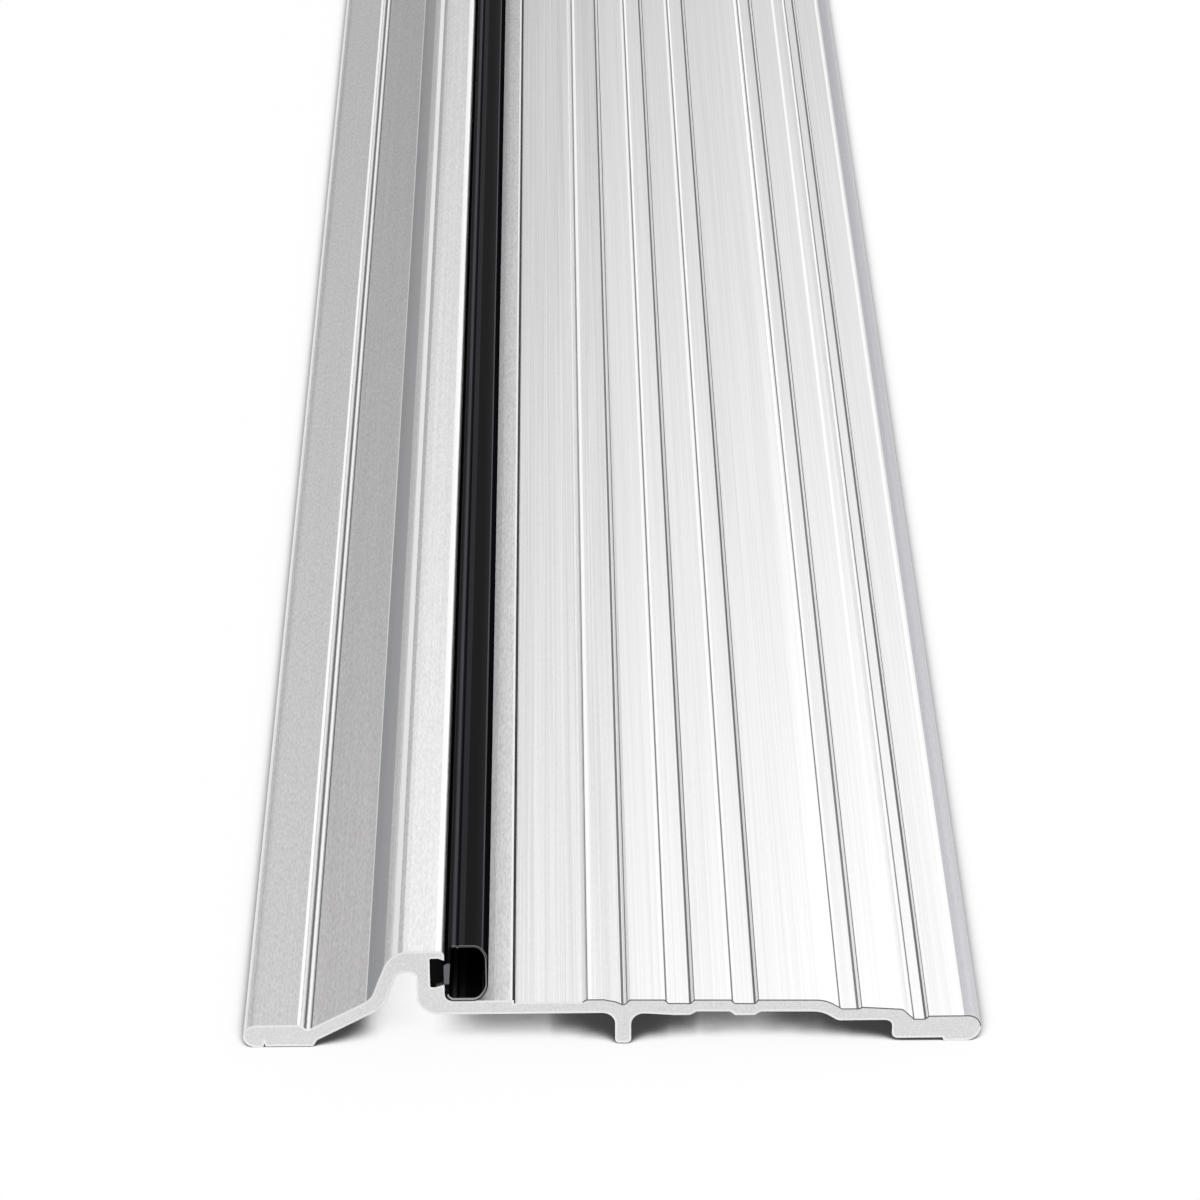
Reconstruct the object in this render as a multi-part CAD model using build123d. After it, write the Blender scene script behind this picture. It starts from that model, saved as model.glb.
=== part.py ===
from build123d import *
import os
from math import cos, radians, sin, tan

# A door threshold: one length of extruded aluminium with a hollow rubber bulb seal in its stop.
# Millimetres. X runs across the threshold, Y along it and Z up from the surface it stands on.
# The section is described from its left edge to its right, as it shows at the near sawn end.

os.makedirs("parts", exist_ok=True)

# Length of the bar, sawn square at both ends
bar_length = 914.4

# Walls of the extrusion
upright_wall = 2.4
ramp_wall = 2.5
riser_wall = 2.6
floor_wall = 2.65
tread_wall = 2.3

# Inner foot: a low block with a full round nose, a notch and a faint recess underneath
foot_height = 4.35
foot_top_width = 9.9
foot_base_width = 12.0
foot_shoulder_radius = 1.2
foot_toe_width = 3.4
foot_notch_width = 0.45
foot_notch_depth = 0.75
foot_recess = 0.15
foot_heel_run = 0.75
foot_heel_radius = 0.4

# Valley between the foot and the ramp
valley_depth = 0.8
valley_side_run = 0.95
valley_width = 0.65
valley_radius = 0.25

# Ramp, and the riser that sweeps up from its crease
ramp_run = 9.8
ramp_angle = 29.0
sweep_run = 1.0
sweep_angle = 43.0
sweep_radius = 3.0
riser_angle = 70.0
knee_radius = 5.0

# Stop: a rounded block over a hollow, with an overhanging lip
stop_height = 19.05
stop_top_width = 9.25
stop_radius = 4.8
stop_thickness = 4.25
hollow_riser_radius = 1.3
hollow_upright_radius = 1.1
upright_root_radius = 3.6
lip_thickness = 1.4
lip_radius = 0.95

# Slot for the seal, open to the right between the lip and the sill below it
slot_depth = 2.5
slot_height = 5.9
lip_hook = 0.42
lip_hook_run = 1.0
sill_hook = 0.55
sill_hook_run = 1.6
slot_radius = 0.35

# Floor beside the seal, with a sunk panel, a fine score line along its left edge and a flat pad
floor_height = 9.0
floor_root_radius = 1.2
floor_strip_width = 11.8
panel_width = 11.8
panel_recess = 0.4
panel_bevel_run = 0.65
score_width = 0.4
score_depth = 0.3
score_radius = 0.15
pad_width = 3.0
pad_fall_run = 2.15
pad_fall = 0.5

# Vee over the middle leg
vee_depth = 1.0
vee_left_run = 0.9
vee_floor_width = 0.45
vee_right_run = 1.0

# Middle leg
leg_thickness = 2.75
leg_clearance = 0.2
leg_tip_radius = 0.75
leg_root_radius = 2.2

# Tread: three lands with a gentle fall and two grooves, where the wall jogs down below each groove
tread_height = 8.9
tread_fall_angle = 0.7
land_widths = [5.9, 6.3, 11.6]
groove_widths = [5.1, 4.75]
groove_depth = 0.72
groove_side_run = 0.7
jog_flats = [2.5, 3.3]
jog_run_out = 1.1
jog_run_in = 0.9
jog_radius = 0.5
edge_radius = 0.2

# Nosing, where the tread rounds down to the gutter
nosing_run = 2.8
nosing_radius = 5.5
nosing_under_radius = 5.0
gutter_height = 6.65
gutter_width = 2.85
gutter_side_run = 0.6
gutter_under_radius = 1.5

# Shelf beyond the gutter, and its slope down to the outer foot
shelf_step = 0.3
shelf_width = 6.95
shelf_fall = 0.5
shelf_radius = 1.0
slope_run = 2.05
slope_drop = 2.05

# Outer foot, with its own small gutter, a round nose and a recess underneath
outer_gutter_width = 1.8
outer_gutter_side_run = 0.75
outer_foot_step = 0.6
outer_top_width = 8.925
outer_nose_top_radius = 2.2
outer_nose_base_radius = 2.7
outer_block_width = 15.3
outer_toe_width = 6.3
outer_toe_step_run = 0.3
outer_recess = 0.65
outer_heel_radius = 1.0
outer_root_radius = 1.2

# Bulb seal, which fits the slot and rests on the floor
seal_fit = 0.1
seal_floor_gap = 0.05
seal_stand = 1.15
seal_width = 7.35
seal_wall = 0.45
seal_lip_gap = 0.75
seal_back_top_radius = 0.9
seal_back_foot_radius = 1.4
seal_brow_run = 1.3
seal_brow_drop = 2.2
seal_cheek_run = 1.6
seal_cheek_rise = 2.25
seal_corner_radius = 2.1
seal_front_radius = 3.8
seal_neck_drop = 1.0
seal_neck_chamfer = 0.7
seal_head_setback = 1.2


def meet(p, p_angle, q, q_angle):
    """Point where the line through p at p_angle crosses the line through q at q_angle."""
    dx, dz = q[0] - p[0], q[1] - p[1]
    a, b = radians(p_angle), radians(q_angle)
    reach = (dx * sin(b) - dz * cos(b)) / sin(b - a)
    return (p[0] + reach * cos(a), p[1] + reach * sin(a))


def rounded_face(corners):
    """Face inside a closed run of corners, each an x, a z and the radius that rounds it."""
    places = [Vector(x, z) for x, z, _ in corners]
    turns = []
    for i, (_, _, radius) in enumerate(corners):
        corner = places[i]
        back = (places[i - 1] - corner).normalized()
        ahead = (places[(i + 1) % len(places)] - corner).normalized()
        half = radians(back.get_angle(ahead)) / 2
        run = radius / tan(half)
        middle = corner + (back + ahead).normalized() * (radius / sin(half) - radius)
        turns.append((corner + back * run, middle, corner + ahead * run))
    edges = []
    for i, (start, middle, end) in enumerate(turns):
        before = turns[i - 1][2]
        if (start - before).length > 1e-6:
            edges.append(Line(before, start))
        if (end - start).length > 1e-6:
            edges.append(ThreePointArc(start, middle, end))
    return make_face(edges)


# Places along X, worked out from the left edge
valley_left = foot_top_width + valley_side_run
valley_right = valley_left + valley_width
crease_x = valley_right + ramp_run
sweep_x = crease_x + sweep_run
valley_z = foot_height - valley_depth
crease_z = valley_z + ramp_run * tan(radians(ramp_angle))
sweep_z = crease_z + sweep_run * tan(radians(sweep_angle))
stop_left = sweep_x + (stop_height - sweep_z) / tan(radians(riser_angle))
stop_right = stop_left + stop_top_width
slot_ceiling = stop_height - lip_thickness
slot_floor = slot_ceiling - slot_height
lip_hook_z = slot_ceiling - lip_hook
sill_z = slot_floor + sill_hook
slot_back = stop_right - slot_depth
upright_x = slot_back - upright_wall
panel_left = stop_right + floor_strip_width
panel_right = panel_left + panel_width
pad_left = panel_right + panel_bevel_run
pad_right = pad_left + pad_width
vee_left = pad_right + pad_fall_run
vee_floor_left = vee_left + vee_left_run
vee_floor_right = vee_floor_left + vee_floor_width
tread_left = vee_floor_right + vee_right_run
groove_lefts = [
    tread_left + land_widths[0],
    tread_left + land_widths[0] + groove_widths[0] + land_widths[1],
]
nosing_x = groove_lefts[1] + groove_widths[1] + land_widths[2]
gutter_left = nosing_x + nosing_run
gutter_right = gutter_left + gutter_width
shelf_left = gutter_right + gutter_side_run
shelf_right = shelf_left + shelf_width
outer_gutter_left = shelf_right + slope_run
outer_gutter_right = outer_gutter_left + outer_gutter_width
outer_top_left = outer_gutter_right + outer_gutter_side_run
width = outer_top_left + outer_top_width


def tread_z(x):
    """Height of the falling tread at x."""
    return tread_height - (x - tread_left) * tan(radians(tread_fall_angle))


# Heights beyond the nosing
shelf_z = gutter_height + shelf_step
shelf_end_z = shelf_z - shelf_fall
outer_gutter_z = shelf_end_z - slope_drop
outer_foot_height = outer_gutter_z + outer_foot_step
floor_under = floor_height - floor_wall


def groove_corners(left, breadth):
    """Corners of one tread groove: sloping sides and a flat bottom."""
    right = left + breadth
    return [
        (left, tread_z(left), edge_radius),
        (left + groove_side_run, tread_z(left) - groove_depth, edge_radius),
        (right - groove_side_run, tread_z(right) - groove_depth, edge_radius),
        (right, tread_z(right), edge_radius),
    ]


def jog_corners(i):
    """Corners of the underside below groove i, right to left, keeping the wall's thickness."""
    right = groove_lefts[i] + groove_widths[i] - groove_side_run
    end = right + jog_run_out
    bottom = tread_z(right) - groove_depth - tread_wall
    return [
        (end, tread_z(end) - tread_wall, jog_radius),
        (right, bottom, jog_radius),
        (right - jog_flats[i], bottom, jog_radius),
    ]


def upper_corners():
    """Corners of everything a foot or a door passes over, from left to right."""
    inner_side = [
        (0, foot_height, foot_height / 2),
        (foot_top_width, foot_height, foot_shoulder_radius),
        (valley_left, valley_z, valley_radius),
        (valley_right, valley_z, valley_radius),
        (crease_x, crease_z, 0),
        (sweep_x, sweep_z, sweep_radius),
        (stop_left, stop_height, stop_radius),
        (stop_right, stop_height, lip_radius),
    ]
    panel_z = floor_height - panel_recess
    score_z = panel_z - score_depth
    floor = [
        (stop_right, floor_height, floor_root_radius),
        (panel_left, floor_height, 0),
        (panel_left, score_z, score_radius),
        (panel_left + score_width, score_z, score_radius),
        (panel_left + score_width, panel_z, 0),
        (panel_right, panel_z, edge_radius),
        (pad_left, floor_height, edge_radius),
        (pad_right, floor_height, edge_radius),
        (vee_left, floor_height - pad_fall, edge_radius),
        (vee_floor_left, floor_height - vee_depth, 0),
        (vee_floor_right, floor_height - vee_depth, 0),
        (tread_left, tread_z(tread_left), edge_radius),
    ]
    grooves = groove_corners(groove_lefts[0], groove_widths[0])
    grooves += groove_corners(groove_lefts[1], groove_widths[1])
    outer_side = [
        (nosing_x, tread_z(nosing_x), nosing_radius),
        (gutter_left, gutter_height, 0),
        (gutter_right, gutter_height, 0),
        (shelf_left, shelf_z, edge_radius),
        (shelf_right, shelf_end_z, shelf_radius),
        (outer_gutter_left, outer_gutter_z, 0),
        (outer_gutter_right, outer_gutter_z, 0),
        (outer_top_left, outer_foot_height, edge_radius),
        (width, outer_foot_height, outer_nose_top_radius),
    ]
    return inner_side + floor + grooves + outer_side


def under_corners():
    """Corners of the underside, from right to left."""
    block_left = width - outer_block_width
    toe_left = width - outer_toe_width
    gutter_under = gutter_height - tread_wall
    nosing_angle = -Vector(nosing_run, gutter_height - tread_z(nosing_x)).get_angle(Vector(1, 0))
    beside_nosing = (gutter_left, gutter_height - tread_wall / cos(radians(nosing_angle)))
    below_gutter = meet(beside_nosing, nosing_angle, (gutter_left, gutter_under), 0)
    below_tread = meet(
        beside_nosing, nosing_angle, (nosing_x, tread_z(nosing_x) - tread_wall), -tread_fall_angle
    )
    outer_side = [
        (width, 0, outer_nose_base_radius),
        (toe_left, 0, 0),
        (toe_left - outer_toe_step_run, outer_recess, 0),
        (block_left, outer_recess, outer_heel_radius),
        (block_left, gutter_under, outer_root_radius),
        (*below_gutter, gutter_under_radius),
        (*below_tread, nosing_under_radius),
    ]
    jogs = jog_corners(1)
    run_in = jogs[-1][0] - jog_run_in
    jogs.append((run_in, tread_z(run_in) - tread_wall, jog_radius))
    jogs += jog_corners(0)

    leg_middle = (vee_floor_left + vee_floor_right) / 2
    leg_left = leg_middle - leg_thickness / 2
    leg_right = leg_middle + leg_thickness / 2
    leg = [
        (leg_right, floor_under, leg_root_radius),
        (leg_right, leg_clearance, leg_tip_radius),
        (leg_left, leg_clearance, leg_tip_radius),
        (leg_left, floor_under, leg_root_radius),
    ]

    ramp_under = (valley_right, valley_z - ramp_wall / cos(radians(ramp_angle)))
    riser_under = (stop_left + riser_wall / sin(radians(riser_angle)), stop_height)
    hollow_top = stop_height - stop_thickness
    knee = meet(ramp_under, ramp_angle, riser_under, riser_angle)
    hollow_corner = meet(riser_under, riser_angle, (stop_left, hollow_top), 0)
    hollow = [
        (upright_x, floor_under, upright_root_radius),
        (upright_x, hollow_top, hollow_upright_radius),
        (*hollow_corner, hollow_riser_radius),
        (*knee, knee_radius),
    ]

    heel_x = foot_base_width + foot_heel_run
    heel_z = ramp_under[1] + (heel_x - valley_right) * tan(radians(ramp_angle))
    notch_right = foot_toe_width + foot_notch_width
    inner_side = [
        (heel_x, heel_z, foot_heel_radius),
        (foot_base_width, foot_recess, foot_heel_radius),
        (notch_right, foot_recess, 0),
        ((foot_toe_width + notch_right) / 2, foot_notch_depth, 0),
        (foot_toe_width, 0, 0),
        (0, 0, foot_height / 2),
    ]
    return outer_side + jogs + leg + hollow + inner_side


def slot_corners(fit):
    """Corners of the seal slot, drawn in by fit on every side, from the lip round to the sill."""
    mouth = stop_right - fit
    back = slot_back + fit
    return [
        (mouth, lip_hook_z - fit, 0),
        (mouth - lip_hook_run, slot_ceiling - fit, slot_radius),
        (back, slot_ceiling - fit, slot_radius),
        (back, slot_floor + fit, slot_radius),
        (stop_right - sill_hook_run, slot_floor + fit, slot_radius),
        (mouth, sill_z + fit, 0),
    ]


def along(face, span):
    """Bar of the given span whose section is face, standing in the XZ plane, centred on Y."""
    upright = Plane.XZ * Pos(-width / 2, 0) * face
    return extrude(upright, amount=span / 2, both=True)


def threshold_extrusion():
    """The aluminium bar."""
    section = rounded_face(upper_corners() + under_corners())
    section -= rounded_face(slot_corners(0))
    return along(section, bar_length)


def bulb_seal():
    """The rubber seal: a hollow bulb, its neck, and a head trimmed back from each sawn end."""
    back_foot = stop_right + seal_fit
    back_top = stop_right + seal_lip_gap
    front = back_foot + seal_width
    bottom = floor_height + seal_floor_gap
    top = stop_height + seal_stand
    bulb = rounded_face(
        [
            (back_foot, bottom, seal_back_foot_radius),
            (front - seal_cheek_run, bottom, seal_corner_radius),
            (front, bottom + seal_cheek_rise, seal_front_radius),
            (front, top - seal_brow_drop, seal_front_radius),
            (front - seal_brow_run, top, seal_corner_radius),
            (back_top, top, seal_back_top_radius),
        ]
    )
    bore = offset(bulb, amount=-seal_wall)
    neck_bottom = sill_z + seal_fit
    neck_top = lip_hook_z - seal_neck_drop
    neck = rounded_face(
        [
            (stop_right - seal_fit, neck_bottom, 0),
            (back_top, neck_bottom, 0),
            (back_top, neck_top + seal_neck_chamfer, 0),
            (stop_right - seal_fit, neck_top, 0),
        ]
    )
    tube = along((bulb - bore) + (neck - bore), bar_length)
    head = along(rounded_face(slot_corners(seal_fit)), bar_length - 2 * seal_head_setback)
    return tube + head


extrusion = threshold_extrusion()
seal = bulb_seal()
export_step(extrusion, "parts/threshold_extrusion.step")
export_step(seal, "parts/bulb_seal.step")
print("overall width", round(width, 2), "height over the seal", round(stop_height + seal_stand, 2))
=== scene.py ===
# %% [markdown]
# # An aluminium door threshold with a rubber bulb seal
#
# The real object is two pieces. One is a bar of extruded aluminium, pushed through a steel die
# and sawn square. The other is a length of hollow black rubber, held by a slot in the bar.
# The CAD model already has the exact sizes, so this file loads it first and never moves it.
# Blender's share is what the CAD can't show: the die lines, the sawn ends with their burr, the
# rubber's soft shine, and the studio that lights them.

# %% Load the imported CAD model
from math import acos, degrees, radians

import bmesh
import bpy
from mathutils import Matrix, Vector


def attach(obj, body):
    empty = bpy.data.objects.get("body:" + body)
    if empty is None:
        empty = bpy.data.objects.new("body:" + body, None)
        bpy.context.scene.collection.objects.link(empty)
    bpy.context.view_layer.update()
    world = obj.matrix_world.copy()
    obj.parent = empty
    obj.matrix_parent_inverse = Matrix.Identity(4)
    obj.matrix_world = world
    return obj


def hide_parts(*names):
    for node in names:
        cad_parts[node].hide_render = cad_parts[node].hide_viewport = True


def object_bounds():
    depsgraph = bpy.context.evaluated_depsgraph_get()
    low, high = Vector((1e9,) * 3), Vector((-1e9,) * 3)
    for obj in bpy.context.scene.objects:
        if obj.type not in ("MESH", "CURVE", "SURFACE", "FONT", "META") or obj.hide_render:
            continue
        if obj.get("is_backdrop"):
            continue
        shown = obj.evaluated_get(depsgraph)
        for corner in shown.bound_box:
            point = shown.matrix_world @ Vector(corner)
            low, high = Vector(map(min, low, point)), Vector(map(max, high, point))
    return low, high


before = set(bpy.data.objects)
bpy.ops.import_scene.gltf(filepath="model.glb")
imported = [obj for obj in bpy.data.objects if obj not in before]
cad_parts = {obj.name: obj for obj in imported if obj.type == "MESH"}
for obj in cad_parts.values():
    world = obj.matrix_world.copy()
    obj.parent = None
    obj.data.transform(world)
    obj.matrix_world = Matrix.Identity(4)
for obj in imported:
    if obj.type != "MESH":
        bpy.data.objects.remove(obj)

MM = 0.001
cad_low, cad_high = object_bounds()
print("CAD nodes:", sorted(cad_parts))
print("CAD size in mm:", [round(v / MM, 1) for v in cad_high - cad_low])

# %% [markdown]
# ## The camera
#
# The photograph looks down the length of the bar through a long lens, so the long edges run
# almost parallel. The place, tilt and lens were worked out from the way those edges draw
# together and from the width of the near end. A tiny roll is kept, because the photograph has it.

# %% Place the camera
CAMERA_PLACE = Vector((-7.7, -1141.5, 450.5)) * MM
CAMERA_TILT = 62.0
CAMERA_ROLL = 0.26
CAMERA_TURN = -0.64
LENS = 142.0
SENSOR_WIDTH = 36.0
NEAREST_SEEN = 10 * MM

camera = bpy.data.objects.new("camera", bpy.data.cameras.new("camera"))
bpy.context.scene.collection.objects.link(camera)
camera.location = CAMERA_PLACE
camera.rotation_euler = [radians(angle) for angle in (CAMERA_TILT, CAMERA_ROLL, CAMERA_TURN)]
camera.data.lens = LENS
camera.data.sensor_width = SENSOR_WIDTH
camera.data.clip_start = NEAREST_SEEN
bpy.context.scene.camera = camera
print("camera", tuple(round(v, 3) for v in camera.location), "lens", camera.data.lens)

# %% [markdown]
# ## Two small helpers
#
# Colours are picked in sRGB, as a colour picker shows them, but shaders work in linear light.
# One function turns a hex value into linear numbers. Another adds a shader node, sets what it is
# given and links what comes from other nodes, so that each material below reads as a short list.

# %% Colour and node helpers
def linear(hex_colour):
    """Linear RGBA of an sRGB colour such as "c8cacc"."""
    parts = [int(hex_colour[i:i + 2], 16) / 255 for i in (0, 2, 4)]
    return [v / 12.92 if v <= 0.04045 else ((v + 0.055) / 1.055) ** 2.4 for v in parts] + [1.0]


def add_node(tree, kind, inputs, **settings):
    """A new node with its settings made, and its inputs set or linked."""
    node = tree.nodes.new(kind)
    for name, value in settings.items():
        setattr(node, name, value)
    for name, value in inputs.items():
        if isinstance(value, bpy.types.NodeSocket):
            tree.links.new(value, node.inputs[name])
        else:
            node.inputs[name].default_value = value
    return node


def new_material(name):
    """An empty node material and its tree."""
    material = bpy.data.materials.new(name)
    material.use_nodes = True
    material.node_tree.nodes.clear()
    return material, material.node_tree


print("middle grey is", [round(v, 3) for v in linear("808080")])

# %% [markdown]
# ## Grain, the pattern that every surface here shares
#
# Metal and rubber alike were pushed through a die, so both carry marks that are narrow across the
# bar and long along it. A picture of such marks would have to be fitted to each face, and it would
# repeat. Noise does neither: it is worked out from each point's place on the object, squeezed
# across the bar and stretched along it. The marks of the saw are the same noise, not stretched.

# %% Noise drawn out along the bar
def grain(tree, breadth, length, detail, roughness=0.5):
    """Noise with grains that are so broad across the bar and so long along it."""
    place = add_node(tree, "ShaderNodeTexCoord", {}).outputs["Object"]
    stretched = add_node(
        tree, "ShaderNodeMapping",
        {"Vector": place, "Scale": (1 / breadth, 1 / length, 1 / breadth)},
    ).outputs["Vector"]
    return add_node(
        tree, "ShaderNodeTexNoise",
        {"Vector": stretched, "Scale": 1.0, "Detail": detail, "Roughness": roughness},
    ).outputs["Fac"]


print("grain: one noise, squeezed across the bar and stretched along it")

# %% [markdown]
# ## Extruded aluminium, as it leaves the die
#
# Mill-finish aluminium isn't polished or painted. The die drags fine lines along the whole length,
# so the metal is a satin mirror that spreads light widely across the bar and little along it. The
# same metal shows several finishes here: fine lines on the tread, a grainy stipple on the foot and
# the ramp, a plainer and darker grey of painted shade on the riser and the right nose, and dark
# hairlines of painted shade where two faces meet. A picture of brushed metal could be wrapped round
# the bar, but one recipe with a few settings keeps them all the same metal, and its noise never
# repeats along the length.

# %% The scale of the die lines and the stipple
# Real die lines are about a third of this breadth, and the stipple half. Both are drawn as
# coarse as they need to be to show in a picture of the whole bar.
DIE_LINE = 0.3 * MM
DIE_LINE_LENGTH = 160 * MM
DIE_LINE_DEPTH = 0.006 * MM
STIPPLE = 0.24 * MM
STIPPLE_LENGTH = 1.5 * MM
STIPPLE_DEPTH = 0.02 * MM
# Noise stays near its middle, so these two values of it already get the dull and bright colours.
DULLEST = 0.35
BRIGHTEST = 0.65
# Roughness rises by this much from line to line, and the gleam is drawn out across them.
POLISH_SPREAD = 0.12
STRETCH_OF_GLEAM = 0.85
print("a die line is", DIE_LINE / MM, "mm wide, a stipple", STIPPLE / MM, "mm")


# %% One recipe for drawn metal
def drawn_aluminium(name, dull, bright, smoothest, lines_show, stipple_shows):
    """Satin metal with lines along Y and a stipple, each as strong as it is told to be."""
    material, tree = new_material(name)
    lines = grain(tree, DIE_LINE, DIE_LINE_LENGTH, detail=3.0, roughness=0.6)
    stipple = grain(tree, STIPPLE, STIPPLE_LENGTH, detail=1.0)
    mixed = add_node(
        tree, "ShaderNodeMixRGB",
        {"Fac": stipple_shows / (lines_show + stipple_shows), "Color1": lines, "Color2": stipple},
    ).outputs["Color"]
    share = add_node(
        tree, "ShaderNodeMapRange", {"Value": mixed, "From Min": DULLEST, "From Max": BRIGHTEST}
    ).outputs["Result"]
    tint = add_node(
        tree, "ShaderNodeMixRGB",
        {"Fac": share, "Color1": linear(dull), "Color2": linear(bright)},
    ).outputs["Color"]
    roughness = add_node(
        tree, "ShaderNodeMapRange",
        {"Value": lines, "To Min": smoothest, "To Max": smoothest + POLISH_SPREAD},
    ).outputs["Result"]
    pitted = add_node(
        tree, "ShaderNodeBump",
        {"Height": stipple, "Strength": stipple_shows, "Distance": STIPPLE_DEPTH},
    ).outputs["Normal"]
    relief = add_node(
        tree, "ShaderNodeBump",
        {
            "Height": lines, "Normal": pitted, "Strength": lines_show,
            "Distance": DIE_LINE_DEPTH,
        },
    ).outputs["Normal"]
    across = add_node(
        tree, "ShaderNodeTangent", {}, direction_type="UV_MAP", uv_map="across"
    ).outputs["Tangent"]
    shader = add_node(
        tree, "ShaderNodeBsdfPrincipled",
        {
            "Base Color": tint, "Metallic": 1.0, "Roughness": roughness, "Normal": relief,
            "Anisotropic": STRETCH_OF_GLEAM, "Tangent": across,
        },
    ).outputs["BSDF"]
    add_node(tree, "ShaderNodeOutputMaterial", {"Surface": shader})
    return material


print("a finish is told its two colours, its polish and how much its lines and stipple show")

# %% Its finishes
# The tread: the die polishes it most, so it is nearly white, with long lines that give a sheen.
bright_drawn = drawn_aluminium("bright_drawn_aluminium", "eaeaea", "f7f7f7", 0.26, 1.0, 0.2)
# The sunk panel: a wider range between the lines makes it look combed beside the plain tread.
fine_drawn = drawn_aluminium("fine_drawn_aluminium", "dcdcdc", "f4f4f4", 0.26, 1.0, 0.2)
# The pad by the middle leg: a shade greyer, which parts the panel from the tread.
soft_drawn = drawn_aluminium("soft_drawn_aluminium", "d2d2d2", "e8e8e8", 0.28, 1.0, 0.2)
# The strip at the seal's foot: more grain than lines, so it looks like frosted metal.
floor_strip = drawn_aluminium("floor_strip_aluminium", "d8d8d8", "f4f4f4", 0.28, 0.6, 1.0)
# The flat top of the stop: pale and finely grained, the brightest broad band on this side.
stop_crown = drawn_aluminium("stop_crown_aluminium", "e2e2e2", "f9f9f9", 0.26, 0.8, 1.0)
# The ramp: a warm grey grain that takes the gloss off the metal.
stippled = drawn_aluminium("stippled_aluminium", "cfcdce", "e7e5e6", 0.32, 0.5, 1.0)
# The foot: a cooler and duller grain with painted shade, so that it lies back from the stop.
foot_grain_and_shade = drawn_aluminium("foot_grain_and_shade_aluminium", "c5c5c6", "dadada", 0.34, 0.4, 1.0)
# The riser: an even mid grey of painted shade, the darkest broad band, which makes the stop stand
# up.
riser_painted_shade = drawn_aluminium("riser_painted_shade_aluminium", "a4a5a7", "b2b3b5", 0.34, 0.5, 0.5)
# The nose of the outer foot: painted shade, an even cool grey that draws the bar's right edge on
# white.
nose_painted_shade = drawn_aluminium("nose_painted_shade_aluminium", "bcbbc0", "c9c8cd", 0.34, 0.5, 0.5)
# Painted shade in each hollow corner: a hairline of dark metal that keeps two faces apart.
corner_painted_shade = drawn_aluminium("corner_painted_shade_aluminium", "78787b", "868689", 0.4, 0.5, 0.5)
# The deep score line by the panel: painted shade, nearly black, as little light gets into it.
deep_line_painted_shade = drawn_aluminium("deep_line_painted_shade_aluminium", "2e2e30", "3a3a3c", 0.5, 0.5, 0.5)
DRAWN = [
    bright_drawn, fine_drawn, soft_drawn, floor_strip, stop_crown, stippled, foot_grain_and_shade, riser_painted_shade,
    nose_painted_shade, corner_painted_shade, deep_line_painted_shade,
]
print("drawn finishes:", ", ".join(finish.name for finish in DRAWN))

# %% [markdown]
# ## Matte metal: the sawn ends, and painted highlights and shade lines
#
# A saw leaves the ends duller than the drawn faces: fine tooth marks scatter the light, so the cut
# looks even and pale from every side. Round each end runs a thin broken edge, coloured as a painted
# highlight, but as a painted shade line along the top on the right. The crests beside the grooves
# carry painted highlights, thin white lines. All are the same metal without die lines, so a second
# short recipe serves them.

# %% One recipe for matte metal
# Real tooth marks are about half as broad. They are drawn so that the speckle shows.
TOOTH_MARK = 0.2 * MM
TOOTH_DEPTH = 0.02 * MM
TOOTH_MARKS_SHOW = 0.3


def matte_aluminium(name, dull, bright, roughness):
    """Matte metal with a fine speckle: the sawn ends, and the painted highlights and shade lines.
    """
    material, tree = new_material(name)
    speckle = grain(tree, TOOTH_MARK, TOOTH_MARK, detail=2.0)
    tint = add_node(
        tree, "ShaderNodeMixRGB",
        {"Fac": speckle, "Color1": linear(dull), "Color2": linear(bright)},
    ).outputs["Color"]
    relief = add_node(
        tree, "ShaderNodeBump",
        {"Height": speckle, "Strength": TOOTH_MARKS_SHOW, "Distance": TOOTH_DEPTH},
    ).outputs["Normal"]
    shader = add_node(
        tree, "ShaderNodeBsdfPrincipled",
        {"Base Color": tint, "Metallic": 1.0, "Roughness": roughness, "Normal": relief},
    ).outputs["BSDF"]
    add_node(tree, "ShaderNodeOutputMaterial", {"Surface": shader})
    return material


# Crests and the lip of the stop: painted highlights, thin white lines down the whole bar.
crest_painted_highlight = matte_aluminium("crest_painted_highlight_aluminium", "fafafa", "fefefe", 0.45)
# Shoulders and the sloping sides of crests: a softer painted highlight, a pale band with no gleam.
shoulder_painted_highlight = matte_aluminium("shoulder_painted_highlight_aluminium", "f8f8f8", "fefefe", 1.0)
# The sawn ends: an even light grey with a speckle of tooth marks.
sawn = matte_aluminium("sawn_aluminium", "cecece", "fefefe", 0.62)
# The edges of the ends, but the top on the right: a painted highlight, a bright hairline that draws
# the section.
edge_painted_highlight = matte_aluminium("edge_painted_highlight_aluminium", "fafafa", "fefefe", 0.8)
# The top edges on the right: painted shade, a dull grey hairline where the tread meets the cut.
edge_painted_shade = matte_aluminium("edge_painted_shade_aluminium", "6c6c70", "7a7a7e", 0.5)
MATTE = [crest_painted_highlight, shoulder_painted_highlight, sawn, edge_painted_highlight, edge_painted_shade]
print("matte finishes:", ", ".join(finish.name for finish in MATTE))

# %% [markdown]
# ## The bar
#
# The CAD node has the right section, but its mesh is loose triangles with knife-sharp ends. The
# section could be drawn again here, but then two files would have to agree. A merged copy is
# simpler: each end becomes one flat face. Insetting that face makes a rim, and sinking the face a
# little leaves the burr that a saw throws up along the lower edges. The upper ones are broken back.
# The rim is coloured as a painted highlight, but for a painted shade line along the top on the
# right. A second, flat ring inside the rim carries the same painted highlight, but is plain sawn
# metal along the top on the right. One wide ring would fold over itself at the section's smallest
# rounds. Two narrow ones don't, as long as the corners that the first one brings together are
# welded.

# %% A merged copy of a CAD node
SAME_PLACE = 0.001 * MM
SAME_PLANE = radians(0.5)


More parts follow.
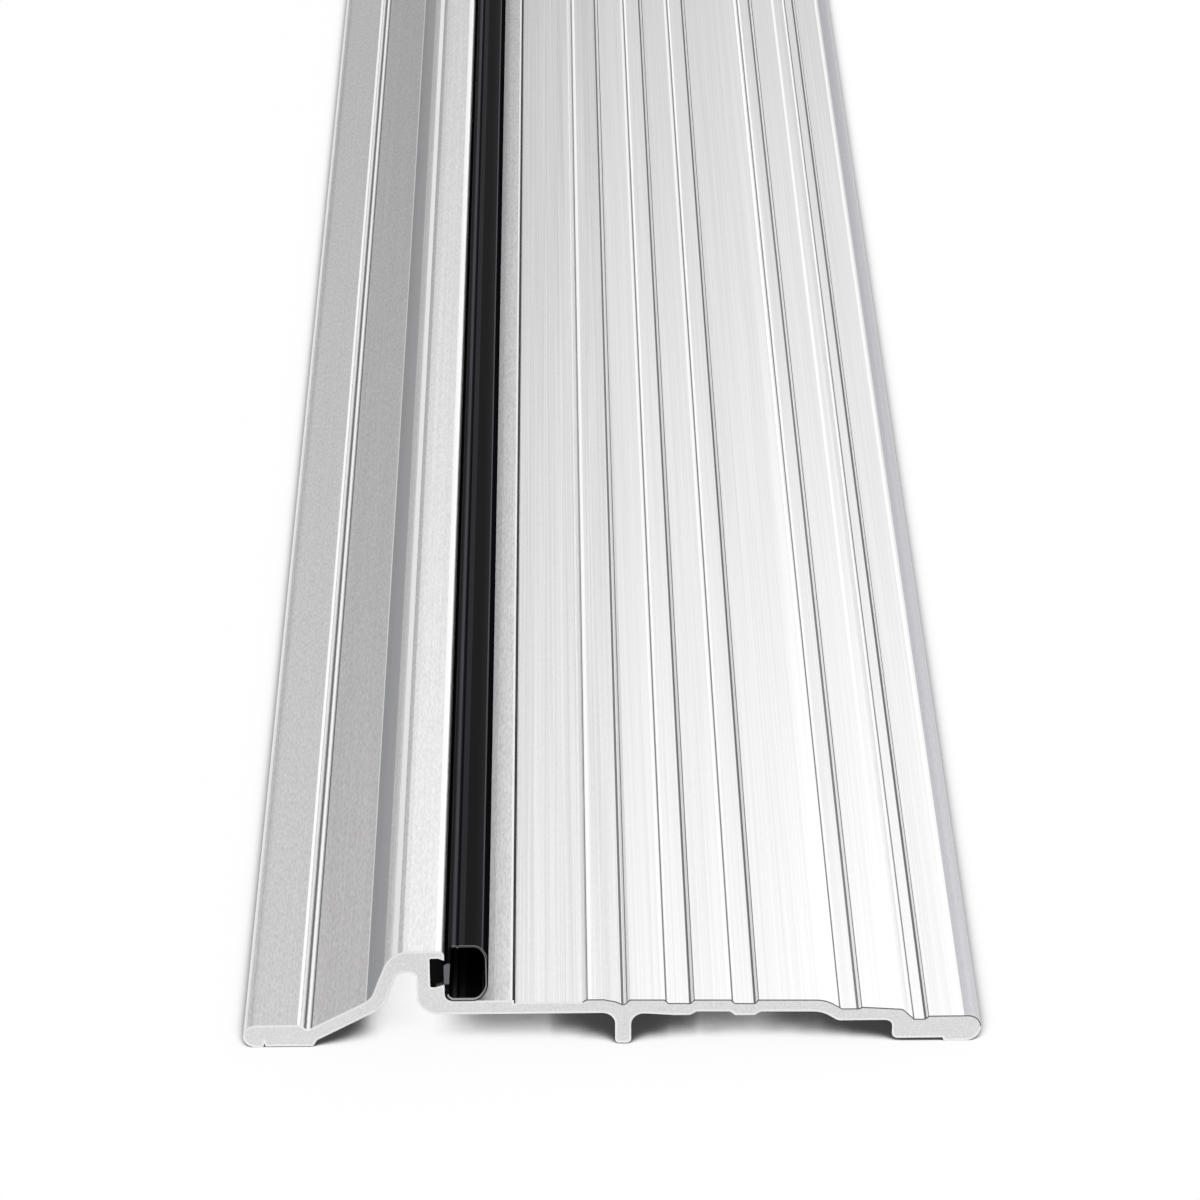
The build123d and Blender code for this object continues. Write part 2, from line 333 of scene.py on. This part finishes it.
def merged_copy(node):
    """A bmesh of a CAD node with its triangles joined into flat faces."""
    shape = bmesh.new()
    shape.from_mesh(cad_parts[node].data)
    bmesh.ops.remove_doubles(shape, verts=shape.verts, dist=SAME_PLACE)
    bmesh.ops.dissolve_limit(
        shape, angle_limit=SAME_PLANE, verts=shape.verts, edges=shape.edges
    )
    shape.normal_update()
    print(node, "merged to", len(shape.verts), "vertices and", len(shape.faces), "faces")
    return shape


print("corners within", SAME_PLACE / MM, "mm of each other become one")

# %% A piece made from a mesh
SMOOTH_ANGLE = 25
END_ON = 0.9


def is_end_on(face):
    """Whether a face lies across the bar, as a sawn end does."""
    return abs(face.normal.y) > END_ON


def piece_from(shape, name, materials):
    """An object at the origin from a bmesh, smooth but for its ends and its sharper edges."""
    mesh = bpy.data.meshes.new(name)
    shape.to_mesh(mesh)
    shape.free()
    for layer in [layer for layer in mesh.attributes if layer.name == "custom_normal"]:
        mesh.attributes.remove(layer)
    mesh.set_sharp_from_angle(angle=radians(SMOOTH_ANGLE))
    for face in mesh.polygons:
        face.use_smooth = not is_end_on(face)
    for material in materials:
        mesh.materials.append(material)
    piece = bpy.data.objects.new(name, mesh)
    bpy.context.scene.collection.objects.link(piece)
    print(name, "has", len(mesh.polygons), "faces")
    return piece


print("an edge over", SMOOTH_ANGLE, "degrees stays sharp, and an end leans",
      round(degrees(acos(END_ON))), "degrees at most")

# %% Copy the bar and list its finishes
BAR_FINISHES = DRAWN + MATTE
(BRIGHT, FINE, SOFT, STRIP, CROWN, STIPPLED, FOOT_SHADE, RISER_SHADE, NOSE_SHADE, CORNER_SHADE, DEEP_SHADE, CREST_HIGHLIGHT,
 SHOULDER_HIGHLIGHT, SAWN, EDGE_HIGHLIGHT, EDGE_SHADE) = range(len(BAR_FINISHES))

bar_shape = merged_copy("threshold_extrusion")
for face in bar_shape.faces:
    face.material_index = BRIGHT

# %% Break the edges of the sawn ends
EDGE_WIDTH = 0.18 * MM
EDGE_DROP = 0.1 * MM
HIGHLIGHTED_WIDTH = 0.16 * MM
WELD = 0.06 * MM
EDGE_SHADE_STARTS = -9.0 * MM


def in_order(elements):
    """Mesh elements without repeats, as a list. A set's order would differ from run to run."""
    return list(dict.fromkeys(elements))


def sawn_face(outward):
    """The sawn end of the bar that looks outward: its largest face that does."""
    facing = [face for face in bar_shape.faces if face.normal.dot(outward) > END_ON]
    return max(facing, key=lambda face: face.calc_area())


def ring_inside(end, breadth):
    """Inset a sawn end. Gives the ring's faces, the inner corners and the outer ones on top."""
    ring = bmesh.ops.inset_region(
        bar_shape, faces=[end], thickness=breadth, use_even_offset=True
    )["faces"]
    inner = in_order(end.verts)
    outer = [
        corner for corner in in_order(corner for face in ring for corner in face.verts)
        if corner not in inner
    ]
    partner = {
        corner: next(
            edge.other_vert(corner) for edge in corner.link_edges
            if edge.other_vert(corner) in inner
        )
        for corner in outer
    }
    upper = [corner for corner in outer if corner.co.z > partner[corner].co.z]
    return ring, inner, upper


def finish_ring(ring, inner, upper, right_finish):
    """The painted edge highlight, but another finish on top on the right."""
    for face in ring:
        on_top = all(corner in inner or corner in upper for corner in face.verts)
        right = face.calc_center_median().x > EDGE_SHADE_STARTS
        face.material_index = right_finish if on_top and right else EDGE_HIGHLIGHT


# Each end's rim and the band inside it get a painted highlight; along the top on the right the rim
# gets painted shade and the band stays sawn.
for outward in (Vector((0, -1, 0)), Vector((0, 1, 0))):
    rim, inner, upper = ring_inside(sawn_face(outward), EDGE_WIDTH)
    bmesh.ops.translate(bar_shape, verts=inner, vec=-outward * EDGE_DROP)
    bmesh.ops.translate(bar_shape, verts=upper, vec=-outward * EDGE_DROP * 2)
    finish_ring(rim, inner, upper, EDGE_SHADE)
    bmesh.ops.remove_doubles(bar_shape, verts=inner, dist=WELD)
    bar_shape.normal_update()
    end = sawn_face(outward)
    end.material_index = SAWN
    highlighted, inner, upper = ring_inside(end, HIGHLIGHTED_WIDTH)
    finish_ring(highlighted, inner, upper, SAWN)
bar_shape.normal_update()
print("rim and scraped band:", EDGE_WIDTH / MM, "and", HIGHLIGHTED_WIDTH / MM, "mm")

# %% [markdown]
# ## Bands and lines on the top
#
# The top shows bands that run the whole length: some are finishes that the die gives each face a
# little differently, and some are painted shade, such as the riser, the foot and the right nose.
# Where two faces meet a dark line of painted shade runs in the hollow, and a painted highlight runs
# along the crest beside it. A pattern could paint all this, but a real line keeps to its corner
# exactly, so the mesh itself is sliced along each edge of a band with bisect_plane, and the strip
# between two slices gets the band's finish. Every band is written as its two edges along X, and
# every line as its middle and its breadth, in millimetres.

# %% The bands
# The riser and the foot bands carry painted shade, the right nose too; the crest and shoulder bands
# carry painted highlights.
BANDS = [
    (-63.4, -62.8, SHOULDER_HIGHLIGHT), (-62.8, -62.3, STRIP), (-62.3, -53.6, FOOT_SHADE),
    (-53.6, -42.1, STIPPLED), (-42.1, -38.9, RISER_SHADE),
    (-38.9, -38.2, FOOT_SHADE), (-38.2, -37.8, STIPPLED), (-37.8, -37.5, BRIGHT),
    (-37.5, -36.5, SHOULDER_HIGHLIGHT), (-36.5, -35.7, FOOT_SHADE), (-35.7, -30.1, CROWN), (-30.1, -28.6, CREST_HIGHLIGHT),
    (-28.6, -20.2, STIPPLED), (-20.2, -17.0, STRIP), (-17.0, -1.5, FINE), (-1.5, 1.4, SOFT),
    (1.4, 60.6, BRIGHT), (60.6, 63.4, NOSE_SHADE),
]
print("bands:", len(BANDS))

# %% The lines
# Painted highlights: bright lines along the crests and the lip of the stop.
BRIGHT_LINES = [
    (-53.9, 0.5), (-52.25, 0.4), (-42.2, 0.2), (-17.3, 0.35), (-3.75, 0.6), (8.7, 0.45),
    (20.05, 0.5), (38.4, 0.5), (48.4, 0.6), (51.4, 0.4), (59.9, 0.6),
]
# Softer painted highlights: pale bands on shoulders and sloping sides.
MATTE_LINES = [
    (-53.3, 0.35), (-5.2, 0.35), (-4.75, 0.5), (2.27, 0.4), (2.9, 0.45), (9.75, 0.4),
    (13.78, 0.4), (21.1, 0.4), (24.88, 0.38), (39.6, 0.4), (42.6, 0.3), (54.25, 0.25),
]
# Painted shade: dark hairlines in the hollow corners.
DARK_LINES = [
    (-52.78, 0.38), (-51.7, 0.26), (-4.24, 0.18), (1.78, 0.44),
    (2.6, 0.14), (9.28, 0.3), (13.4, 0.38), (14.12, 0.14), (20.65, 0.3), (24.5, 0.38),
    (25.17, 0.14), (39.12, 0.28), (42.2, 0.42), (42.9, 0.14), (51.9, 0.26), (53.92, 0.4),
    (54.47, 0.1),
]
# Painted shade: the deep line beside the panel.
DEEP_LINES = [(-16.84, 0.48)]
print("pale lines:", len(BRIGHT_LINES + MATTE_LINES), "dark:", len(DARK_LINES + DEEP_LINES))


# %% Slice a strip out of the top
SIDE_ON = 0.1
BARELY_UP = 0.05


def is_side_on(face):
    """Whether a face runs along the bar, as its skin does."""
    return abs(face.normal.y) < SIDE_ON


def looks_up(face):
    """Whether a face runs along the bar and looks at least a little upwards."""
    return is_side_on(face) and face.normal.z > BARELY_UP


def slice_faces(shape, faces, place, side):
    """Cut these faces along the plane through a place that looks to a side."""
    edges = in_order(edge for face in faces for edge in face.edges)
    corners = in_order(corner for face in faces for corner in face.verts)
    bmesh.ops.bisect_plane(
        shape, geom=faces + edges + corners, dist=SAME_PLACE, plane_co=place, plane_no=side
    )


def finish_strip(shape, low, high, finish):
    """Cut the faces that look up along X = low and X = high, and finish those between."""
    for place in (low, high):
        upper = [face for face in shape.faces if looks_up(face)]
        slice_faces(shape, upper, (place * MM, 0, 0), (1, 0, 0))
    for face in shape.faces:
        if looks_up(face) and low * MM < face.calc_center_median().x < high * MM:
            face.material_index = finish


for low, high, finish in BANDS:
    finish_strip(bar_shape, low, high, finish)
# Painted highlights go on crests and shoulders, painted shade in the corners and the deep line.
for lines, finish in (
    (BRIGHT_LINES, CREST_HIGHLIGHT), (MATTE_LINES, SHOULDER_HIGHLIGHT), (DARK_LINES, CORNER_SHADE), (DEEP_LINES, DEEP_SHADE),
):
    for middle, breadth in lines:
        finish_strip(bar_shape, middle - breadth / 2, middle + breadth / 2, finish)
print("the bar has", len(bar_shape.faces), "faces after slicing")

# %% Paint shade on the right nose and a highlight on the left one, all the way round
RIGHT_NOSE = 61.4 * MM
LEFT_NOSE = -62.95 * MM

for face in bar_shape.faces:
    place = face.calc_center_median().x
    if is_side_on(face) and place > RIGHT_NOSE:
        face.material_index = NOSE_SHADE
    if is_side_on(face) and place < LEFT_NOSE:
        face.material_index = CREST_HIGHLIGHT
print("the noses start at", round(LEFT_NOSE / MM, 2), "and", round(RIGHT_NOSE / MM, 2), "mm")

# %% [markdown]
# ## Which way the die lines run
#
# A satin metal needs to know which way is across its lines. The shader takes that from a UV map:
# on every face, U runs sideways round the section and V runs along the bar.

# %% Map each face and finish the bar
across = bar_shape.loops.layers.uv.new("across")
for face in bar_shape.faces:
    sideways = face.normal.cross(Vector((0, 1, 0)))
    for loop in face.loops:
        loop[across].uv = (loop.vert.co.dot(sideways), loop.vert.co.y)
bar = piece_from(bar_shape, "threshold_bar", BAR_FINISHES)
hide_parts("threshold_extrusion")
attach(bar, "root")

# %% [markdown]
# ## The rubber seal
#
# The seal is EPDM rubber, pushed hot through a die of its own and cured. It is nearly black and
# rather dull; the light on its shoulders is painted on as sheen and highlights, and the shade on
# its flank as dead black. Where the knife cut it to length, two narrow edges are bevelled: the one
# round the bore, which shows at the bottom, carries a painted highlight, and the one along the top
# of the skin carries the knife-cut grey, painted as lit. A cylinder with a bevel could stand for
# the seal, but the CAD solid already has the wall, the bore and the neck, so a merged copy of it is
# used. The fine line along its back is sliced in and pressed down, and the two edges are bevelled.

# %% Black extruded rubber
RUBBER_GRAIN = 0.3 * MM
RUBBER_GRAIN_LENGTH = 12 * MM
RUBBER_GRAIN_DEPTH = 0.02 * MM
RUBBER_GRAIN_SHOWS = 0.3
RUBBER_SPREAD = 0.1


def extruded_rubber(name, dull, bright, smoothest, shine):
    """Black rubber with faint lines along it."""
    material, tree = new_material(name)
    drag = grain(tree, RUBBER_GRAIN, RUBBER_GRAIN_LENGTH, detail=2.0)
    tint = add_node(
        tree, "ShaderNodeMixRGB",
        {"Fac": drag, "Color1": linear(dull), "Color2": linear(bright)},
    ).outputs["Color"]
    roughness = add_node(
        tree, "ShaderNodeMapRange",
        {"Value": drag, "To Min": smoothest, "To Max": smoothest + RUBBER_SPREAD},
    ).outputs["Result"]
    relief = add_node(
        tree, "ShaderNodeBump",
        {"Height": drag, "Strength": RUBBER_GRAIN_SHOWS, "Distance": RUBBER_GRAIN_DEPTH},
    ).outputs["Normal"]
    shader = add_node(
        tree, "ShaderNodeBsdfPrincipled",
        {
            "Base Color": tint, "Roughness": roughness, "Normal": relief,
            "Specular IOR Level": shine,
        },
    ).outputs["BSDF"]
    add_node(tree, "ShaderNodeOutputMaterial", {"Surface": shader})
    return material


# The seal's skin: nearly black, with a faint sheen that follows its length.
rubber = extruded_rubber("extruded_rubber", "0c0c0e", "141416", 0.55, 0.04)
# Beside the crowns of the back: a painted sheen, so that its round shape shows.
rubber_painted_sheen = extruded_rubber("rubber_painted_sheen", "202022", "29292c", 0.5, 0.04)
# The crowns themselves: painted highlights, two thin grey lines that stand in for caught light.
rubber_painted_highlight = extruded_rubber("rubber_painted_highlight", "3a3a3e", "454549", 0.5, 0.04)
# The flank beside the tread: painted shade, dead black without sheen, a deep line between seal and
# metal.
flank_painted_shade = extruded_rubber("flank_painted_shade", "08080a", "0e0e10", 0.8, 0.0)
# The knife's cut: matte grey, painted as lit: it shows on the neck and along the top of the end,
# while the rest of the cut end stays black.
lit_cut_rubber = extruded_rubber("lit_cut_rubber", "84848a", "9a9a9e", 0.7, 0.1)
# The lip of the bore: a painted highlight, paler and smoother, a thin bright ring.
lip_painted_highlight = extruded_rubber("lip_painted_highlight", "b4b4b6", "d0d0d2", 0.45, 0.3)
SEAL_FINISHES = [rubber, rubber_painted_sheen, rubber_painted_highlight, flank_painted_shade, lit_cut_rubber, lip_painted_highlight]
RUBBER, RUBBER_SHEEN, RUBBER_HIGHLIGHT, FLANK_SHADE, LIT_CUT, LIP_HIGHLIGHT = range(len(SEAL_FINISHES))
print("rubber finishes:", ", ".join(finish.name for finish in SEAL_FINISHES))

# %% Press the fine line along the seal's back
LINE_PLACE = -26.3 * MM
LINE_BREADTH = 0.4 * MM
LINE_DEPTH = 0.25 * MM
ON_LINE = 0.01 * MM
SEAL_CROWN = 19.5 * MM

seal_shape = merged_copy("bulb_seal")
for step in (-0.5, 0.0, 0.5):
    slice_faces(
        seal_shape, seal_shape.faces[:], (LINE_PLACE + step * LINE_BREADTH, 0, 0), (1, 0, 0)
    )
pressed = [
    corner for corner in seal_shape.verts
    if abs(corner.co.x - LINE_PLACE) < ON_LINE and corner.co.z > SEAL_CROWN
]
bmesh.ops.translate(seal_shape, verts=pressed, vec=(0, 0, -LINE_DEPTH))
seal_shape.normal_update()
print("pressed", len(pressed), "corners down by", LINE_DEPTH / MM, "mm")

# %% Paint highlights on its shoulders and shade on its flank
FLANK_STARTS = -22.0 * MM
FACES_TREAD = 0.5
# Bands of painted sheen and painted highlight across the seal's back.
SHOULDERS = [
    (-27.45, -27.2, RUBBER_SHEEN), (-27.2, -26.65, RUBBER_HIGHLIGHT), (-26.05, -25.1, RUBBER_SHEEN),
    (-22.2, -21.95, RUBBER_HIGHLIGHT),
]

# The flank beside the tread gets painted shade; the rest starts as plain rubber.
for face in seal_shape.faces:
    on_flank = face.normal.x > FACES_TREAD and face.calc_center_median().x > FLANK_STARTS
    face.material_index = FLANK_SHADE if on_flank else RUBBER
for low, high, finish in SHOULDERS:
    finish_strip(seal_shape, low, high, finish)
print("shoulders:", SHOULDERS)

# %% Trim the cut ends
BORE_MIDDLE = Vector((-24.6, 0, 14.6)) * MM
FACES_MIDDLE = 0.3
LIT_FROM_ABOVE = 0.2
CUT_ENDS = 457.1 * MM
BEHIND_BORE = -27.3 * MM
BELOW_NECK = 11.5 * MM
LIP_TRIM = 0.24 * MM
SKIN_TRIM = 0.08 * MM


def is_cut(face):
    """Whether a face of the seal is one that the knife left."""
    return is_end_on(face) and abs(face.calc_center_median().y) > CUT_ENDS


def faces_bore(face):
    """Whether a face of the seal is part of the bore's wall."""
    inward = BORE_MIDDLE - face.calc_center_median()
    inward.y = 0
    return is_side_on(face) and face.normal.dot(inward.normalized()) > FACES_MIDDLE


def faces_up(face):
    """Whether a face of the seal is part of its skin, on the side that the ceiling lights."""
    return is_side_on(face) and face.normal.z > LIT_FROM_ABOVE and not faces_bore(face)


def is_clear(edge):
    """Whether an edge lies clear of the neck."""
    beside = min(corner.co.x for corner in edge.verts) > BEHIND_BORE
    below = max(corner.co.z for corner in edge.verts) < BELOW_NECK
    return beside or below


def trim(meets, breadth, finish):
    """Bevel the cut ends' edges, clear of the neck, where they meet a chosen kind of face."""
    edges = [
        edge for edge in seal_shape.edges
        if any(is_cut(face) for face in edge.link_faces)
        and any(meets(face) for face in edge.link_faces) and is_clear(edge)
    ]
    bevelled = bmesh.ops.bevel(
        seal_shape, geom=edges, offset=breadth, offset_type="OFFSET", segments=1, profile=0.5,
        affect="EDGES", clamp_overlap=False, material=-1,
    )
    for face in bevelled["faces"]:
        face.material_index = finish
    seal_shape.normal_update()
    print("trimmed", len(edges), "edges by", round(breadth / MM, 2), "mm")


# The bore's rim gets a painted highlight.
trim(faces_bore, LIP_TRIM, LIP_HIGHLIGHT)
# The top edge of each end, on the lit side, gets the knife-cut grey painted as lit.
trim(faces_up, SKIN_TRIM, LIT_CUT)

# %% Paint the lit knife cut on the neck
NECK_HEIGHTS = (12.5 * MM, 16.6 * MM)

for height in NECK_HEIGHTS:
    ends = [face for face in seal_shape.faces if is_cut(face)]
    slice_faces(seal_shape, ends, (0, 0, height), (0, 0, 1))
neck = [
    face for face in seal_shape.faces
    if is_cut(face) and face.calc_center_median().x < BEHIND_BORE
    and NECK_HEIGHTS[0] < face.calc_center_median().z < NECK_HEIGHTS[1]
]
for face in neck:
    face.material_index = LIT_CUT
print("showed the cut on", len(neck), "faces of the neck")

# %% Clear slivers that the cuts left
SLIVER = 0.005 * MM

bmesh.ops.dissolve_degenerate(seal_shape, dist=SLIVER, edges=seal_shape.edges)
seal_shape.normal_update()
print("the seal has", len(seal_shape.faces), "faces without slivers")

# %% Finish the seal
seal = piece_from(seal_shape, "rubber_bulb", SEAL_FINISHES)
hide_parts("bulb_seal")
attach(seal, "root")

# %% [markdown]
# ## The floor
#
# Catalogue pictures stand the object on seamless white paper. The paper could be lit until it
# burns out, but that would burn the metal too. Here the camera and every reflection see paper
# that glows white, mixed with a little truly lit paper, and the light that bounces off it is
# greyer, so that the gaps under the bar stay dark.
#
# A glow has no shadow of its own, so the paper dims where the bar comes close to it. One ambient
# occlusion node measures how open each point is within a few millimetres, upwards and towards the
# near end, where the light in the gaps comes from. A second looks straight up, a little further
# than the bar's low floor but not as far as the roof of the ramp: it finds how deep a point lies
# under the low floor. The darker of the two counts. Open paper glows at 1, which is white. Both
# nodes cost time, so only the paper near the bar has them.

# %% How the shade under the bar falls off
CONTACT_REACH = 8 * MM
DARKEST_CONTACT = 0.52
OPEN_PAPER = 0.82
FORWARD = (0.0, -1.0, 1.0)
ROOF_REACH = 12 * MM
DEEPEST_ROOF = 0.27
ROOF_MOUTH = 0.41
DEEPEST_SHADE = 0.04
OCCLUSION_RAYS = 24


def shade_of_bar(tree):
    """How brightly the paper glows near the bar, from 1 down to the deepest shade."""
    forward = add_node(
        tree, "ShaderNodeVectorMath", {0: FORWARD}, operation="NORMALIZE"
    ).outputs["Vector"]
    openness = add_node(
        tree, "ShaderNodeAmbientOcclusion", {"Distance": CONTACT_REACH, "Normal": forward},
        samples=OCCLUSION_RAYS,
    ).outputs["AO"]
    contact = add_node(
        tree, "ShaderNodeMapRange",
        {
            "Value": openness, "From Min": DARKEST_CONTACT, "From Max": OPEN_PAPER,
            "To Min": DEEPEST_SHADE,
        },
        interpolation_type="SMOOTHSTEP",
    ).outputs["Result"]
    sky = add_node(
        tree, "ShaderNodeAmbientOcclusion", {"Distance": ROOF_REACH}, samples=OCCLUSION_RAYS
    ).outputs["AO"]
    depth = add_node(
        tree, "ShaderNodeMapRange",
        {
            "Value": sky, "From Min": DEEPEST_ROOF, "From Max": ROOF_MOUTH,
            "To Min": DEEPEST_SHADE,
        },
    ).outputs["Result"]
    return add_node(
        tree, "ShaderNodeMath", {0: contact, 1: depth}, operation="MINIMUM"
    ).outputs[0]


print("the shade reaches", round(max(CONTACT_REACH, ROOF_REACH) / MM), "mm from the bar")

# %% White paper
PAPER_GLOW = 0.93


def white_paper(name, is_near):
    """Paper that glows white, dimmed if it is near the bar, and throws back less light."""
    material, tree = new_material(name)
    bounce = add_node(tree, "ShaderNodeBsdfDiffuse", {"Color": linear("707070")}).outputs["BSDF"]
    lit = add_node(tree, "ShaderNodeBsdfDiffuse", {"Color": linear("fafafa")}).outputs["BSDF"]
    strength = shade_of_bar(tree) if is_near else 1.0
    glow = add_node(
        tree, "ShaderNodeEmission", {"Color": linear("ffffff"), "Strength": strength}
    ).outputs["Emission"]
    paper = add_node(
        tree, "ShaderNodeMixShader", {0: PAPER_GLOW, 1: lit, 2: glow}
    ).outputs["Shader"]
    rays = add_node(tree, "ShaderNodeLightPath", {}).outputs
    mirrored = add_node(
        tree, "ShaderNodeMath",
        {0: rays["Is Glossy Ray"], 1: rays["Is Transmission Ray"]}, operation="MAXIMUM",
    ).outputs[0]
    looked_at = add_node(
        tree, "ShaderNodeMath", {0: rays["Is Camera Ray"], 1: mirrored}, operation="MAXIMUM"
    ).outputs[0]
    shader = add_node(tree, "ShaderNodeMixShader", {0: looked_at, 1: bounce, 2: paper})
    add_node(tree, "ShaderNodeOutputMaterial", {"Surface": shader.outputs["Shader"]})
    return material


# The open paper: plain white, with no shade to look for.
open_paper = white_paper("open_paper", is_near=False)
# The paper under and beside the bar: white too, but for the soft grey of the contact shade.
shaded_paper = white_paper("shaded_paper", is_near=True)
PAPERS = [open_paper, shaded_paper]
OPEN, SHADED = range(len(PAPERS))
print("papers:", ", ".join(paper.name for paper in PAPERS))

# %% Lay the floor, and mark out the paper that the shade can reach
FLOOR_SIZE = 6.0
FLOOR_GAP = 0.02 * MM
SHADE_MARGIN = Vector((20, 20, 0)) * MM

near_low, near_high = cad_low - SHADE_MARGIN, cad_high + SHADE_MARGIN
floor_shape = bmesh.new()
bmesh.ops.create_grid(floor_shape, x_segments=1, y_segments=1, size=FLOOR_SIZE)
for place in (near_low, near_high):
    for side in ((1, 0, 0), (0, 1, 0)):
        slice_faces(floor_shape, floor_shape.faces[:], place, side)
bmesh.ops.translate(floor_shape, verts=floor_shape.verts, vec=(0, 0, -FLOOR_GAP))
for face in floor_shape.faces:
    middle = face.calc_center_median()
    is_near = near_low.x < middle.x < near_high.x and near_low.y < middle.y < near_high.y
    face.material_index = SHADED if is_near else OPEN
piece_from(floor_shape, "floor", PAPERS)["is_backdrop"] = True

# %% [markdown]
# ## The light of the room
#
# Metal shows what stands around it, so its light is a room more than a lamp. Soft pools of light
# stand for the windows, walls and softboxes of a studio. Each is a cosine lobe: the dot product of
# the ray and the pool's bearing, raised to a power, where a higher power makes a smaller pool.
# Together they light a white floor about as white as it is written.

# %% Pools of light around the bar
# Each pool has a name, the bearing of its middle, its power and its brightness.
POOLS = [
    ("window on the right", (1.0, 0.0, 0.1), 2, 0.88),
    ("skylight on the right", (1.0, 0.0, 1.0), 6, 0.42),
    ("skylight on the left", (-1.0, 0.0, 1.0), 6, 0.15),
    ("ceiling", (0.0, 0.0, 1.0), 4, 1.25),
    ("softbox behind the bar", (0.0, 0.8, 0.6), 12, 0.76),
    ("far corner on the right", (0.8, 0.8, 0.5), 8, 1.48),
    ("far corner on the left", (-0.8, 0.8, 0.5), 8, 0.77),
    ("wall behind the camera", (0.0, -1.0, 0.2), 3, 0.98),
]


def pool_of_light(tree, ray, bearing, power, brightness):
    """How bright one pool looks along a ray."""
    towards = add_node(
        tree, "ShaderNodeVectorMath", {0: ray, 1: Vector(bearing).normalized()},
        operation="DOT_PRODUCT",
    ).outputs["Value"]
    facing = add_node(tree, "ShaderNodeMath", {0: towards, 1: 0.0}, operation="MAXIMUM").outputs[0]
    shaped = add_node(tree, "ShaderNodeMath", {0: facing, 1: power}, operation="POWER").outputs[0]
    return add_node(
        tree, "ShaderNodeMath", {0: shaped, 1: brightness}, operation="MULTIPLY"
    ).outputs[0]


def studio_room():
    """The world: the pools added up."""
    world = bpy.data.worlds.new("studio_room")
    world.use_nodes = True
    tree = world.node_tree
    tree.nodes.clear()
    ray = add_node(tree, "ShaderNodeTexCoord", {}).outputs["Generated"]
    pools = [pool_of_light(tree, ray, *pool[1:]) for pool in POOLS]
    total = pools[0]
    for pool in pools[1:]:
        total = add_node(tree, "ShaderNodeMath", {0: total, 1: pool}, operation="ADD").outputs[0]
    room = add_node(
        tree, "ShaderNodeBackground", {"Color": linear("ffffff"), "Strength": total}
    ).outputs["Background"]
    add_node(tree, "ShaderNodeOutputWorld", {"Surface": room})
    return world


bpy.context.scene.world = studio_room()
bpy.context.scene.view_settings.view_transform = "Standard"
print("pools of light:", ", ".join(pool[0] for pool in POOLS))

# %% Finish
low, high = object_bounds()
print("visual size in mm:", [round(v / MM, 1) for v in high - low])
